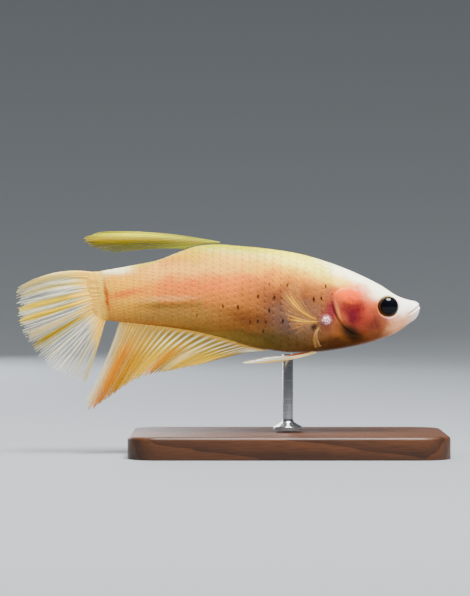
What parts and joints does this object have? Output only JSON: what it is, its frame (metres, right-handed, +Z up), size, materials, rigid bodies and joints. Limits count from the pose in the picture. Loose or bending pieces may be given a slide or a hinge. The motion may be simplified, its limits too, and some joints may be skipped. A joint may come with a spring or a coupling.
{
  "type": "halfmoon betta display model",
  "caption": "Life-size still model of a pale short-finned halfmoon betta, fins spread, held level on a small display stand.",
  "frame": {"origin": "centre of the stand base's underside", "axes": "+X towards the fish's snout, +Z up, the fish's right side faces -Y"},
  "size_m": [0.0572, 0.024, 0.0297],
  "materials": {
    "fish_skin": "moist, satin, finely scaled skin",
    "fin_web": "thin, see-through web with yellow and cream rays",
    "eye": "polished black with a thin gold ring",
    "stand_wood": "oiled, satin",
    "stand_steel": "brushed"
  },
  "bodies": {
    "root": {"head": "fish_skin", "lower_jaw": "fish_skin", "gill_cover_right": "fish_skin", "gill_cover_left": "fish_skin", "trunk": "fish_skin", "tail_stem": "fish_skin", "dorsal_fin": "fin_web", "anal_fin": "fin_web", "caudal_fin": "fin_web", "pectoral_fin_right": "fin_web", "pectoral_fin_left": "fin_web", "ventral_fin_right": "fin_web", "ventral_fin_left": "fin_web", "eye_right": "eye", "eye_left": "eye", "stand_base": "stand_wood", "stand_rod": "stand_steel"}
  },
  "joints": []
}
